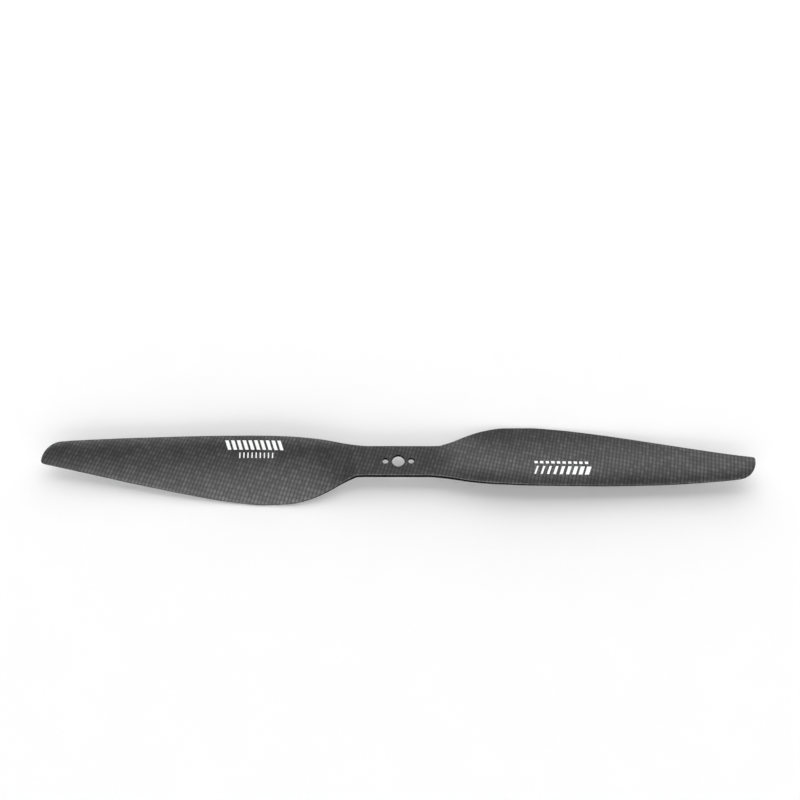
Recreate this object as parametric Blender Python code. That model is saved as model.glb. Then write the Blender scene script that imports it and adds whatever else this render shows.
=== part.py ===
"""Two-blade moulded carbon propeller, left-handed, 13 inch diameter by 4.4 inch pitch.

The propeller is a sandwich: an upper and a lower woven skin, a foam core and a leading and a
trailing edge filler in each blade, two unidirectional spar caps from blade to blade, and a
solid laminate block in the hub, which is drilled for the motor.

The blades lie along X and the bore along Z. The origin is on the bore's axis, at the height
of the surface that the propeller lies on. The right blade's leading edge faces -Y, and the
left blade is the right one turned half a turn about Z, so it turns clockwise seen from above.
"""

import math

import bmesh
import bpy

MM = 0.001

# Driving dimensions, in millimetres.
DIAMETER = 330.2
PITCH = 111.8
HUB_LENGTH = 38.0
BORE_DIAMETER = 6.0
SCREW_HOLE_DIAMETER = 3.0
SCREW_HOLE_SPACING = 12.0

# One line for each place where the outline or the section changes: distance from the bore,
# leading edge ahead of the blade's axis, trailing edge behind it, height of the middle of the
# chord over the hub's middle, greatest thickness, leading edge thickness and trailing edge
# thickness.
STATIONS = (
    (0.0, 7.35, 7.35, 0.0, 3.0, 3.0, 3.0),
    (14.0, 7.4, 7.25, 0.0, 3.0, 3.0, 3.0),
    (19.0, 7.8, 7.35, 0.0, 3.0, 3.0, 3.0),
    (21.0, 8.05, 8.05, -0.1, 3.0, 2.9, 2.8),
    (26.0, 8.9, 10.3, -0.5, 3.0, 2.5, 2.0),
    (32.0, 10.1, 13.5, -0.95, 2.9, 2.0, 1.3),
    (40.0, 11.2, 16.7, -1.4, 2.8, 1.65, 0.9),
    (50.0, 12.0, 18.75, -1.7, 2.6, 1.4, 0.75),
    (62.0, 12.5, 19.05, -2.0, 2.4, 1.3, 0.7),
    (75.0, 12.65, 17.95, -1.95, 2.2, 1.2, 0.7),
    (90.0, 12.75, 15.7, -1.8, 2.0, 1.1, 0.7),
    (120.0, 12.2, 9.95, -1.15, 1.65, 1.0, 0.7),
    (148.0, 10.75, 4.15, 0.3, 1.3, 0.9, 0.7),
    (DIAMETER / 2, 9.1, 0.8, 1.7, 0.8, 0.75, 0.65),
)

# The blade's twist follows the pitch outside FULL_TWIST_RADIUS and fades to none at the hub.
TWIST_STARTS = 19.0
FULL_TWIST_RADIUS = 89.0
CAMBER = 0.034
CAMBER_PEAK_AT = 0.38
CAMBER_STARTS = 20.0
FULL_CAMBER_RADIUS = 42.0
THICKEST_AT = 0.32
NOSE_BEND = 3
TAIL_BEND = 2

# The tip's leading corner is a quarter of an ellipse of this length along the blade, a little
# fuller than a true one.
TIP_ROUND = 9.0
TIP_FULLNESS = 2.8
TIP_FLAT_SHARE = 0.17

# The section's edges are rounded, down to a flat of twice EDGE_FLAT at the mould's parting line.
EDGE_FLAT = 0.12
EDGE_RADIUS = 0.5
NOSE_RADIUS_SHARE = 0.85

# The layers.
SKIN = 0.25
SEAM = 0.05
GLUE_LINE = 0.05
SIDE_WALL = 0.45
INNER_FROM = 0.6
FILLER_WIDTH = 2.0
BLOCK_GAP = 0.4
CAP = 0.28
CAP_EDGE_SHARE = 0.2
CAP_WIDTH_AT_HUB = 8.4
CAP_WIDTH_AT_END = 4.5
CAP_PLACE = 0.36
CAP_ENDS = 118.0
CORE_ENDS = 148.0
TAIL_FILLER_ENDS = 138.0
SOLID_TIP_FROM = 154.0
LEAST_CHORD_FOR_COLUMNS = 12.0

TIP = DIAMETER / 2
HUB_END = HUB_LENGTH / 2
CORE_STARTS = HUB_END + BLOCK_GAP

# The rows of the loft, as distances from the bore, along one blade.
ROWS = (
    0.0, 9.0, 16.0, HUB_END, CORE_STARTS, 22.0, 25.0, 28.5, 32.0, 36.0, 41.0, 47.0, 55.0, 65.0,
    77.0, 90.0, 104.0, CAP_ENDS, TAIL_FILLER_ENDS, CORE_ENDS, SOLID_TIP_FROM, 157.5, 160.5,
    162.8, 164.4, TIP,
)

HOLE_SIDES = 40
CUTTER_HEIGHT = 20.0
SHARP_ANGLE = math.radians(35)


def smooth_value(radius, column):
    """Reads one column of STATIONS at this radius, on a curve that doesn't overshoot."""
    places = [station[0] for station in STATIONS]
    values = [station[column] for station in STATIONS]
    spans = [b - a for a, b in zip(places, places[1:])]
    slopes = [(b - a) / span for a, b, span in zip(values, values[1:], spans)]
    tangents = [slopes[0]]
    for before, after in zip(slopes, slopes[1:]):
        rising = before * after > 0
        tangents.append(2 * before * after / (before + after) if rising else 0.0)
    tangents.append(slopes[-1])
    i = max(k for k in range(len(spans)) if places[k] <= radius or k == 0)
    t = (radius - places[i]) / spans[i]
    start = (1 + 2 * t) * (1 - t) ** 2 * values[i] + t * (1 - t) ** 2 * spans[i] * tangents[i]
    end = t * t * (3 - 2 * t) * values[i + 1] - t * t * (1 - t) * spans[i] * tangents[i + 1]
    return start + end


def share_between(value, low, high):
    """How far value lies from low to high, from 0 to 1."""
    return min(1.0, max(0.0, (value - low) / (high - low)))


def twist(radius):
    """The chord's angle to the hub's plane, in radians."""
    if radius <= TWIST_STARTS:
        return 0.0
    fade = math.sin(math.pi / 2 * share_between(radius, TWIST_STARTS, FULL_TWIST_RADIUS))
    return fade * math.atan2(PITCH, 2 * math.pi * radius)


def outline(radius):
    """The leading edge's and the trailing edge's distances from the blade's axis."""
    lead = smooth_value(radius, 1)
    trail = smooth_value(radius, 2)
    into_tip = share_between(radius, TIP - TIP_ROUND, TIP)
    kept = max(TIP_FLAT_SHARE, math.sqrt(1 - into_tip**TIP_FULLNESS))
    return (lead + trail) * kept - trail, trail


def chord_of(radius):
    lead, trail = outline(radius)
    return (lead + trail) / math.cos(twist(radius))


def half_thickness(radius, along):
    """Half the section's thickness at this distance from the leading edge, edges rounded."""
    chord = chord_of(radius)
    share = along / chord
    middle, nose, tail = (smooth_value(radius, column) / 2 for column in (4, 5, 6))
    if share < THICKEST_AT:
        half = middle - (middle - nose) * (1 - share / THICKEST_AT) ** NOSE_BEND
    else:
        into_tail = share_between(share, THICKEST_AT, 1.0)
        half = middle - (middle - tail) * into_tail**TAIL_BEND
    in_blade = share_between(radius, HUB_END, FULL_CAMBER_RADIUS)
    rounding = EDGE_RADIUS + in_blade * (NOSE_RADIUS_SHARE * half - EDGE_RADIUS)
    rounding = min(rounding, half - EDGE_FLAT)
    from_edge = min(along, chord - along)
    if from_edge < rounding:
        half += math.sqrt(rounding**2 - (rounding - from_edge) ** 2) - rounding
    return half


def camber_height(radius, share):
    """The middle line's height over the chord, as a share of the chord."""
    camber = CAMBER * share_between(radius, CAMBER_STARTS, FULL_CAMBER_RADIUS)
    side = CAMBER_PEAK_AT if share < CAMBER_PEAK_AT else 1 - CAMBER_PEAK_AT
    return camber * (1 - ((share - CAMBER_PEAK_AT) / side) ** 2)


def cap_width(radius):
    share = share_between(radius, HUB_END, CAP_ENDS)
    return CAP_WIDTH_AT_HUB + share * (CAP_WIDTH_AT_END - CAP_WIDTH_AT_HUB)


def columns(radius):
    """The loft's columns at this radius, as distances from the leading edge."""
    chord = chord_of(radius)
    fit = min(1.0, chord / LEAST_CHORD_FOR_COLUMNS)
    filler_end = INNER_FROM + FILLER_WIDTH
    edge = [fit * d for d in (0.0, 0.15, SIDE_WALL, INNER_FROM, filler_end, filler_end + 0.1)]
    inside_hub = 1 - share_between(radius, HUB_END, FULL_CAMBER_RADIUS)
    centre = chord * (CAP_PLACE + inside_hub * (0.5 - CAP_PLACE))
    width = fit * cap_width(radius)
    cap = [centre + width * share for share in (-0.5, -0.25, 0.0, 0.25, 0.5)]
    tail_edge = [chord - d for d in reversed(edge)]
    fore = [edge[-1] + (cap[0] - edge[-1]) * k / 3 for k in (1, 2)]
    aft = [cap[-1] + (tail_edge[0] - cap[-1]) * k / 3 for k in (1, 2)]
    return edge + fore + cap + aft + tail_edge


# Columns by number, counted from the leading edge.
LAST_COLUMN = len(columns(0.0)) - 1
INNER = (3, LAST_COLUMN - 3)
NOSE_FILLER = (3, 4)
TAIL_FILLER = (LAST_COLUMN - 4, LAST_COLUMN - 3)
CORE = (5, LAST_COLUMN - 5)
CAP_COLUMNS = (8, 12)


def point(radius, column, height):
    """A point of the right blade, this far over the section's middle line."""
    along = columns(radius)[column]
    chord = chord_of(radius)
    over_chord = chord * camber_height(radius, along / chord) + height
    angle = twist(radius)
    lead, _ = outline(radius)
    rise = smooth_value(radius, 3) + chord / 2 * math.sin(angle)
    y = -lead + along * math.cos(angle) + over_chord * math.sin(angle)
    z = rise - along * math.sin(angle) + over_chord * math.cos(angle)
    return radius, y, z


def outside(radius, column):
    return half_thickness(radius, columns(radius)[column])


def skin_inside(radius, column):
    """The skin's inner face: at the parting line along the edges and in the solid tip."""
    at_edge = column < INNER[0] or column > INNER[1]
    if at_edge or radius >= SOLID_TIP_FROM:
        return SEAM / 2
    return outside(radius, column) - SKIN


def under_skin(radius, column):
    return outside(radius, column) - SKIN - GLUE_LINE


def cap_thickness(column):
    at_side = column in CAP_COLUMNS
    return CAP * (CAP_EDGE_SHARE if at_side else 1.0)


def under_cap(radius, column):
    """The height left for what lies inside the spar caps."""
    under_a_cap = CAP_COLUMNS[0] <= column <= CAP_COLUMNS[1] and radius <= CAP_ENDS
    if not under_a_cap:
        return under_skin(radius, column)
    return under_skin(radius, column) - cap_thickness(column) - GLUE_LINE


def lowest_point():
    """How far the lower skin reaches under the hub's middle."""
    return min(
        point(radius, column, -outside(radius, column))[2]
        for radius in ROWS
        for column in range(LAST_COLUMN + 1)
    )


HUB_HEIGHT = -lowest_point()


def material(name, colour, roughness, metallic=0.0):
    made = bpy.data.materials.new(name)
    made.use_nodes = True
    shader = made.node_tree.nodes["Principled BSDF"]
    shader.inputs["Base Color"].default_value = (*colour, 1.0)
    shader.inputs["Roughness"].default_value = roughness
    shader.inputs["Metallic"].default_value = metallic
    return made


def slab(name, rows, first, last, top, bottom, both_blades=False):
    """A closed loft between two heights over the section's middle line.

    rows are distances from the bore, first and last are columns, and top and bottom give the
    heights at a row and a column. With both_blades it runs from tip to tip: the left half is
    the right half turned about Z, so its columns run the other way.
    """
    bm = bmesh.new()
    places = [(radius, 1) for radius in rows]
    if both_blades:
        places = [(radius, -1) for radius in reversed(rows[1:])] + places
    grid = []
    for radius, side in places:
        line = range(first, last + 1)
        if side < 0:
            line = reversed(line)
        pair = []
        for column in line:
            ends = []
            for height in (top, bottom):
                x, y, z = point(radius, column, height(radius, column))
                ends.append(bm.verts.new((side * x * MM, side * y * MM, (z + HUB_HEIGHT) * MM)))
            pair.append(ends)
        grid.append(pair)
    for near, far in zip(grid, grid[1:]):
        for a, b, c, d in zip(near, far, far[1:], near[1:]):
            # Neighbouring layers split their twisted quads the same way, so they never cross.
            for corners in ((a, b, c), (a, c, d)):
                bm.faces.new([corner[0] for corner in corners])
                bm.faces.new([corner[1] for corner in reversed(corners)])
        bm.faces.new((near[0][0], near[0][1], far[0][1], far[0][0]))
        bm.faces.new((far[-1][0], far[-1][1], near[-1][1], near[-1][0]))
    for end in (grid[0], grid[-1]):
        for a, b in zip(end, end[1:]):
            bm.faces.new((a[0], b[0], b[1], a[1]))
    bmesh.ops.recalc_face_normals(bm, faces=bm.faces)
    mesh = bpy.data.meshes.new(name)
    bm.to_mesh(mesh)
    bm.free()
    mesh.shade_smooth()
    mesh.set_sharp_from_angle(angle=SHARP_ANGLE)
    return mesh


def add(name, mesh, look, turned=False):
    """Links one piece under the bore's axis. A turned piece belongs to the left blade."""
    piece = bpy.data.objects.new(name, mesh)
    PIECES.objects.link(piece)
    piece.parent = BORE_AXIS
    if turned:
        piece.rotation_euler.z = math.pi
    if not mesh.materials:
        mesh.materials.append(look)
    return piece


def add_pair(part_name, mesh, look):
    """The same piece in both blades."""
    add(f"right_{part_name}", mesh, look)
    add(f"left_{part_name}", mesh, look, turned=True)


def hole_cutter(name, diameter, x):
    bpy.ops.mesh.primitive_cylinder_add(
        vertices=HOLE_SIDES,
        radius=diameter / 2 * MM,
        depth=CUTTER_HEIGHT * MM,
        location=(x * MM, 0, HUB_HEIGHT * MM),
    )
    cutter = bpy.context.object
    cutter.name = name
    for collection in cutter.users_collection:
        collection.objects.unlink(cutter)
    CUTTERS.objects.link(cutter)
    cutter.hide_render = True
    cutter.display_type = "WIRE"
    return cutter


def drill(piece, cutters):
    for cutter in cutters:
        cut = piece.modifiers.new(cutter.name, "BOOLEAN")
        cut.operation = "DIFFERENCE"
        cut.object = cutter


def make_skins():
    """The two woven shells, which meet at the parting line all round the edge."""
    look = material("woven carbon", (0.055, 0.056, 0.058), 0.4)
    upper = slab(
        "upper_skin", ROWS, 0, LAST_COLUMN, outside, skin_inside, both_blades=True
    )
    lower = slab(
        "lower_skin",
        ROWS,
        0,
        LAST_COLUMN,
        lambda radius, column: -skin_inside(radius, column),
        lambda radius, column: -outside(radius, column),
        both_blades=True,
    )
    return [add("upper_skin", upper, look), add("lower_skin", lower, look)]


def make_spar_caps():
    """The unidirectional tapes under the skins, which pass through the hub."""
    look = material("unidirectional carbon", (0.03, 0.03, 0.032), 0.35)
    rows = [radius for radius in ROWS if radius <= CAP_ENDS]

    def cap_inside(radius, column):
        return under_skin(radius, column) - cap_thickness(column)

    upper = slab("upper_spar_cap", rows, *CAP_COLUMNS, under_skin, cap_inside, both_blades=True)
    lower = slab(
        "lower_spar_cap",
        rows,
        *CAP_COLUMNS,
        lambda radius, column: -cap_inside(radius, column),
        lambda radius, column: -under_skin(radius, column),
        both_blades=True,
    )
    return [add("upper_spar_cap", upper, look), add("lower_spar_cap", lower, look)]


def make_hub_block():
    """The solid laminate between the spar caps, which takes the motor's screws."""
    rows = [radius for radius in ROWS if radius <= HUB_END]
    mesh = slab(
        "hub_block",
        rows,
        *INNER,
        under_cap,
        lambda radius, column: -under_cap(radius, column),
        both_blades=True,
    )
    return add("hub_block", mesh, material("solid laminate", (0.02, 0.02, 0.021), 0.5))


def make_blade_filling():
    """Each blade's foam core and its leading and trailing edge fillers."""
    fillings = (
        ("blade_core", CORE, CORE_ENDS, "foam", (0.72, 0.70, 0.62), 0.9),
        ("leading_edge_tow", NOSE_FILLER, CORE_ENDS, "carbon tow", (0.025, 0.025, 0.026), 0.5),
        ("trailing_edge_strip", TAIL_FILLER, TAIL_FILLER_ENDS, "resin", (0.05, 0.045, 0.04), 0.3),
    )
    for name, span, end, look_name, colour, roughness in fillings:
        rows = [radius for radius in ROWS if CORE_STARTS <= radius <= end]
        mesh = slab(
            name,
            rows,
            *span,
            under_cap,
            lambda radius, column: -under_cap(radius, column),
        )
        add_pair(name, mesh, material(look_name, colour, roughness))


def main():
    skins = make_skins()
    caps = make_spar_caps()
    block = make_hub_block()
    make_blade_filling()
    cutters = [
        hole_cutter("bore", BORE_DIAMETER, 0.0),
        hole_cutter("right_screw_hole", SCREW_HOLE_DIAMETER, SCREW_HOLE_SPACING / 2),
        hole_cutter("left_screw_hole", SCREW_HOLE_DIAMETER, -SCREW_HOLE_SPACING / 2),
    ]
    for piece in [*skins, *caps, block]:
        drill(piece, cutters)


for leftover in list(bpy.data.objects):
    bpy.data.objects.remove(leftover)

PIECES = bpy.data.collections.new("propeller")
CUTTERS = bpy.data.collections.new("cutters")
for group in (PIECES, CUTTERS):
    bpy.context.scene.collection.children.link(group)
BORE_AXIS = bpy.data.objects.new("bore_axis", None)
PIECES.objects.link(BORE_AXIS)

main()
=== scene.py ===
"""Looks of a two-blade moulded carbon propeller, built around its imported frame.

The outer skins and the hub's laminate are modelled again at full fineness on the frame's
outline, with the blades' edges trimmed squarer. The printed marks are thin layers of ink on
the blades, and the pieces inside the moulding keep their own solids and get their own finishes.
"""

import logging
import math
from dataclasses import dataclass, field
from enum import Enum
from functools import cache
from typing import Callable, Sequence

import bmesh
import bpy
from mathutils import Matrix, Vector


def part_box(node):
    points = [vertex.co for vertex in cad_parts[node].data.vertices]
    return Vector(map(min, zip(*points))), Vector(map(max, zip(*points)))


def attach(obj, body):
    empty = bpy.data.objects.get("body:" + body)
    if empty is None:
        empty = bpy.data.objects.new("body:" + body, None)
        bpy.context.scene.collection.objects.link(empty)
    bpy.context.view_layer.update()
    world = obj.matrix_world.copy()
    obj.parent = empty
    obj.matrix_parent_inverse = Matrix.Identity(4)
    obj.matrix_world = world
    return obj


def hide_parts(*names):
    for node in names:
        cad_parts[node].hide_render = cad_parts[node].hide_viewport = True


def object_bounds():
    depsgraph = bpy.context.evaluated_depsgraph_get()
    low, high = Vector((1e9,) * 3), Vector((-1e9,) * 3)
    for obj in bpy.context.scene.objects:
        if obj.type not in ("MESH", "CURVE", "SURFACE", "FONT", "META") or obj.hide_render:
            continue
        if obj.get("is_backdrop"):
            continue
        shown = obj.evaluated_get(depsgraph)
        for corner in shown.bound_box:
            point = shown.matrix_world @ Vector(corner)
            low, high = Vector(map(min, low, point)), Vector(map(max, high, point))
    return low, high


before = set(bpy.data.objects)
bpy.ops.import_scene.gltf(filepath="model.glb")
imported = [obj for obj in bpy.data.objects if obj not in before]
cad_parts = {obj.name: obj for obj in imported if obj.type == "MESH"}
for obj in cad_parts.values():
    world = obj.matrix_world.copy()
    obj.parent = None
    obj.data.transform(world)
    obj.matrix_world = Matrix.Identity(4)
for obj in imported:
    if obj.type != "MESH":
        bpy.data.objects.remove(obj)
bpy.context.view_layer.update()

MM = 0.001
INCH = 25.4
SHARP_ANGLE = math.radians(35)
BODY = "root"

Shape = bmesh.types.BMesh
Piece = bpy.types.Object
Look = bpy.types.Material
Tree = bpy.types.NodeTree
Socket = bpy.types.NodeSocket
Outputs = bpy.types.NodeOutputs

log = logging.getLogger("propeller")


class Face(Enum):
    """Which face of the moulding a skin covers."""

    UPPER = 1
    LOWER = -1


class Blade(Enum):
    """The blade on +X, and the one that is its half turn about the bore."""

    RIGHT = 1
    LEFT = -1


# --- The propeller's form ---


@dataclass(frozen=True)
class Station:
    """One place along the blade where the outline or the section changes, in millimetres."""

    radius: float
    lead: float
    trail: float
    rise: float
    thickness: float
    nose: float
    tail: float


def share_between(value: float, low: float, high: float) -> float:
    """Tells how far value lies from low to high, from 0 to 1."""
    return min(1.0, max(0.0, (value - low) / (high - low)))


@dataclass(frozen=True)
class Section:
    """The blade's section at one radius, in millimetres and radians."""

    radius: float
    to_tip: float
    lead: float
    chord: float
    angle: float
    rise: float
    camber: float
    thickness: float
    nose: float
    tail: float
    rounding: float
    nose_rounding: float
    tail_rounding: float
    edge_flat: float
    thickest_at: float
    camber_peak_at: float
    nose_bend: int = 3
    tail_bend: int = 2
    trimmed_band: float = 1.5

    def half_thickness(self, along: float) -> float:
        """Half the thickness at a distance from the leading edge, with the edges rounded.

        Args:
            along: Distance from the leading edge.

        Returns:
            The distance from the middle line to the outer face.
        """
        share = along / self.chord
        middle = self.thickness / 2
        if share < self.thickest_at:
            edge, bend = self.nose / 2, (1 - share / self.thickest_at) ** self.nose_bend
            eased = self.nose_rounding
        else:
            into_tail = share_between(share, self.thickest_at, 1.0)
            edge, bend = self.tail / 2, into_tail**self.tail_bend
            eased = self.tail_rounding
        half = middle - (middle - edge) * bend
        rounding = min(self.rounding + eased * half, half - self.edge_flat)
        from_edge = max(0.0, min(along, self.chord - along, self.to_tip))
        if from_edge < rounding:
            half += math.sqrt(rounding**2 - (rounding - from_edge) ** 2) - rounding
        return half

    def point(self, along: float, height: float) -> Vector:
        """A point over the section's middle line, for the blade on +X.

        Towards the trailing edge, heights turn upright, because that edge is trimmed straight.

        Args:
            along: Distance from the leading edge.
            height: Distance over the middle line.

        Returns:
            The point in millimetres, over the hub's middle plane.
        """
        from_peak = along / self.chord - self.camber_peak_at
        side = self.camber_peak_at if from_peak < 0 else 1 - self.camber_peak_at
        over_chord = self.chord * self.camber * (1 - (from_peak / side) ** 2) + height
        start = self.rise + self.chord / 2 * math.sin(self.angle)
        leaning = share_between(self.chord - along, 0.0, self.trimmed_band)
        return Vector((
            self.radius,
            -self.lead
            + along * math.cos(self.angle)
            + leaning * over_chord * math.sin(self.angle),
            start - along * math.sin(self.angle) + over_chord * math.cos(self.angle),
        ))


@dataclass(frozen=True)
class BladeForm:
    """The outline, twist and sections of one blade, in millimetres."""

    diameter: float = 13 * INCH
    pitch: float = 4.4 * INCH
    hub_length: float = 38.0
    twist_starts: float = 19.0
    full_twist_radius: float = 89.0
    camber: float = 0.034
    camber_peak_at: float = 0.38
    camber_starts: float = 20.0
    full_camber_radius: float = 42.0
    thickest_at: float = 0.32
    tip_round: float = 9.0
    tip_fullness: float = 2.5
    tail_corner: float = 1.1
    least_chord: float = 0.3
    edge_flat: float = 0.12
    hub_edge_radius: float = 0.5
    nose_radius_share: float = 0.35
    tail_radius_share: float = 0.15
    stations: tuple[Station, ...] = (
        Station(0.0, 7.35, 7.35, 0.0, 3.0, 3.0, 3.0),
        Station(14.0, 7.4, 7.25, 0.0, 3.0, 3.0, 3.0),
        Station(19.0, 7.8, 7.35, 0.0, 3.0, 3.0, 3.0),
        Station(21.0, 8.05, 8.05, -0.1, 3.0, 2.9, 2.8),
        Station(26.0, 8.9, 10.3, -0.5, 3.0, 2.5, 2.0),
        Station(32.0, 10.1, 13.5, -0.95, 2.9, 2.0, 1.3),
        Station(40.0, 11.2, 16.7, -1.4, 2.8, 1.65, 0.9),
        Station(50.0, 12.0, 18.75, -1.7, 2.6, 1.4, 0.75),
        Station(62.0, 12.5, 19.05, -2.0, 2.4, 1.3, 0.7),
        Station(75.0, 12.65, 17.95, -1.95, 2.2, 1.2, 0.7),
        Station(90.0, 12.75, 15.7, -1.8, 2.0, 1.1, 0.7),
        Station(120.0, 12.2, 9.95, -1.15, 1.65, 1.0, 0.7),
        Station(148.0, 10.75, 4.15, 0.3, 1.3, 0.9, 0.7),
        Station(13 * INCH / 2, 9.1, 0.8, 1.7, 0.76, 0.75, 0.65),
    )

    @property
    def tip(self) -> float:
        """The blade's length from the bore's axis."""
        return self.diameter / 2

    def smooth_value(self, radius: float, name: str) -> float:
        """Reads one measure of the stations on a curve that doesn't overshoot.

        Args:
            radius: Distance from the bore's axis.
            name: The station's field to read.

        Returns:
            The measure at that radius.
        """
        places = [station.radius for station in self.stations]
        values = [getattr(station, name) for station in self.stations]
        spans = [b - a for a, b in zip(places, places[1:])]
        slopes = [(b - a) / span for a, b, span in zip(values, values[1:], spans)]
        tangents = [slopes[0]]
        for before, after in zip(slopes, slopes[1:]):
            rising = before * after > 0
            tangents.append(2 * before * after / (before + after) if rising else 0.0)
        tangents.append(slopes[-1])
        i = max(k for k in range(len(spans)) if places[k] <= radius or k == 0)
        t, span = (radius - places[i]) / spans[i], spans[i]
        start = (1 + 2 * t) * (1 - t) ** 2 * values[i] + t * (1 - t) ** 2 * span * tangents[i]
        end = t * t * (3 - 2 * t) * values[i + 1] - t * t * (1 - t) * span * tangents[i + 1]
        return start + end

    def twist(self, radius: float) -> float:
        """The chord's angle to the hub's plane: the pitch's own, faded out towards the hub.

        Args:
            radius: Distance from the bore's axis.

        Returns:
            The angle in radians.
        """
        if radius <= self.twist_starts:
            return 0.0
        share = share_between(radius, self.twist_starts, self.full_twist_radius)
        return math.sin(math.pi / 2 * share) * math.atan2(self.pitch, 2 * math.pi * radius)

    def outline(self, radius: float) -> tuple[float, float]:
        """The edges' distances from the blade's axis, with both corners of the tip rounded.

        Args:
            radius: Distance from the bore's axis.

        Returns:
            The leading edge's and the trailing edge's distance.
        """
        into_tip = share_between(radius, self.tip - self.tip_round, self.tip)
        into_corner = share_between(radius, self.tip - self.tail_corner, self.tip)
        lead = self.smooth_value(radius, "lead") * math.sqrt(1 - into_tip**self.tip_fullness)
        trail = self.smooth_value(radius, "trail") * math.sqrt(1 - into_corner**2)
        return max(lead, self.least_chord / 2), max(trail, self.least_chord / 2)

    def section(self, radius: float) -> Section:
        """Works out the section at one radius.

        Args:
            radius: Distance from the bore's axis.

        Returns:
            The section, with the hub's rounded edges blended into the blade's trimmed ones.
        """
        lead, trail = self.outline(radius)
        angle = self.twist(radius)
        blade_share = share_between(radius, self.hub_length / 2, self.full_camber_radius)
        camber_share = share_between(radius, self.camber_starts, self.full_camber_radius)
        return Section(
            radius=radius,
            to_tip=self.tip - radius,
            lead=lead,
            chord=(lead + trail) / math.cos(angle),
            angle=angle,
            rise=self.smooth_value(radius, "rise"),
            camber=self.camber * camber_share,
            thickness=self.smooth_value(radius, "thickness"),
            nose=self.smooth_value(radius, "nose"),
            tail=self.smooth_value(radius, "tail"),
            rounding=self.hub_edge_radius * (1 - blade_share),
            nose_rounding=self.nose_radius_share * blade_share,
            tail_rounding=self.tail_radius_share * blade_share,
            edge_flat=self.edge_flat,
            thickest_at=self.thickest_at,
            camber_peak_at=self.camber_peak_at,
        )


@dataclass(frozen=True)
class Layup:
    """The thickness of each layer, in millimetres."""

    skin: float = 0.25
    seam: float = 0.05
    glue_line: float = 0.05
    side_wall: float = 0.45
    inner_from: float = 0.6
    cap: float = 0.28
    solid_tip_from: float = 154.0


@cache
def hub_height() -> float:
    """The height of the hub's middle plane, in millimetres, from the frame's hub block."""
    low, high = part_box("hub_block")
    return (low.z + high.z) / 2 / MM


def on_blade(blade: Blade, point: Vector) -> Vector:
    """Takes a point of the blade on +X to its place on either blade.

    Args:
        blade: The blade that it belongs to.
        point: The point in millimetres, over the hub's middle plane.

    Returns:
        The place in metres.
    """
    side = blade.value
    return Vector((side * point.x, side * point.y, point.z + hub_height())) * MM


# --- Mesh work ---


def link_mesh(name: str, bm: Shape) -> Piece:
    """Turns a finished bmesh into an object at the origin.

    Args:
        name: The piece's name.
        bm: The mesh, which is freed.

    Returns:
        The new object, shaded smooth up to the sharp angle.
    """
    bmesh.ops.recalc_face_normals(bm, faces=bm.faces)
    mesh = bpy.data.meshes.new(name)
    bm.to_mesh(mesh)
    bm.free()
    mesh.shade_smooth()
    mesh.set_sharp_from_angle(angle=SHARP_ANGLE)
    piece = bpy.data.objects.new(name, mesh)
    bpy.context.scene.collection.objects.link(piece)
    return piece


def add_plate(
    bm: Shape,
    steps: tuple[int, int],
    place: Callable[[int, int, int], Vector],
) -> None:
    """Adds a closed plate: a grid, extruded once, with each vertex put where it belongs.

    Args:
        bm: The mesh that takes the plate.
        steps: Faces along the grid and across it.
        place: Gives a vertex's place from its row, its column and its layer, 0 or 1.
    """
    unit = Matrix.Translation((0.5, 0.5, 0.0))
    made = bmesh.ops.create_grid(
        bm, x_segments=steps[0], y_segments=steps[1], size=0.5, matrix=unit
    )
    sheet = made["verts"]
    faces = list({face for vert in sheet for face in vert.link_faces})
    copied = bmesh.ops.extrude_face_region(bm, geom=faces)["geom"]
    raised = [part for part in copied if isinstance(part, bmesh.types.BMVert)]
    for layer, verts in enumerate((sheet, raised)):
        for vert in verts:
            if vert.is_valid:
                row, column = round(vert.co.x * steps[0]), round(vert.co.y * steps[1])
                vert.co = place(row, column, layer)


@dataclass(frozen=True)
class LoftGrid:
    """The rows and columns that the skins and the hub's laminate are lofted on."""

    form: BladeForm
    hub_step: float = 2.0
    root_step: float = 1.0
    blade_step: float = 2.0
    root_from: float = 14.0
    root_to: float = 42.0
    tip_from: float = 150.0
    tip_rows: int = 30
    edge_columns: int = 8
    edge_band: float = 0.7
    inner_columns: int = 26

    def radii(self, end: float) -> list[float]:
        """The rows' radii from the bore out to end, closer where the form turns faster.

        Args:
            end: The last radius.

        Returns:
            The radii, from 0 to end.
        """
        rows: list[float] = []
        bands = (
            (0.0, self.root_from, self.hub_step),
            (self.root_from, self.root_to, self.root_step),
            (self.root_to, self.tip_from, self.blade_step),
        )
        for low, high, step in bands:
            count = round((high - low) / step)
            rows += [low + (high - low) * k / count for k in range(count)]
        reach = self.form.tip - self.tip_from
        for k in range(self.tip_rows + 1):
            rows.append(self.tip_from + reach * math.sin(math.pi / 2 * k / self.tip_rows))
        return [radius for radius in rows if radius < end] + [end]

    def alongs(self, chord: float) -> list[float]:
        """The columns' distances from the leading edge, closer together near both edges.

        Args:
            chord: The row's whole width.

        Returns:
            The distances, from 0 to chord.
        """
        band = self.edge_band * min(1.0, chord / (3 * self.edge_band))
        turns = [math.pi / 2 * k / self.edge_columns for k in range(self.edge_columns)]
        edge = [band * (1 - math.cos(turn)) for turn in turns]
        inside = chord - 2 * band
        middle = [band + inside * k / self.inner_columns for k in range(self.inner_columns + 1)]
        return edge + middle + [chord - along for along in reversed(edge)]

    def tip_to_tip(self, end: float) -> list[tuple[Blade, Section]]:
        """Every row's section, from the left blade's end to the right blade's.

        Args:
            end: How far the rows reach from the bore.

        Returns:
            The rows, each with its blade.
        """
        sections = [self.form.section(radius) for radius in self.radii(end)]
        left = [(Blade.LEFT, section) for section in reversed(sections[1:])]
        return left + [(Blade.RIGHT, section) for section in sections]


HeightRule = Callable[[Section, float], float]


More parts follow.
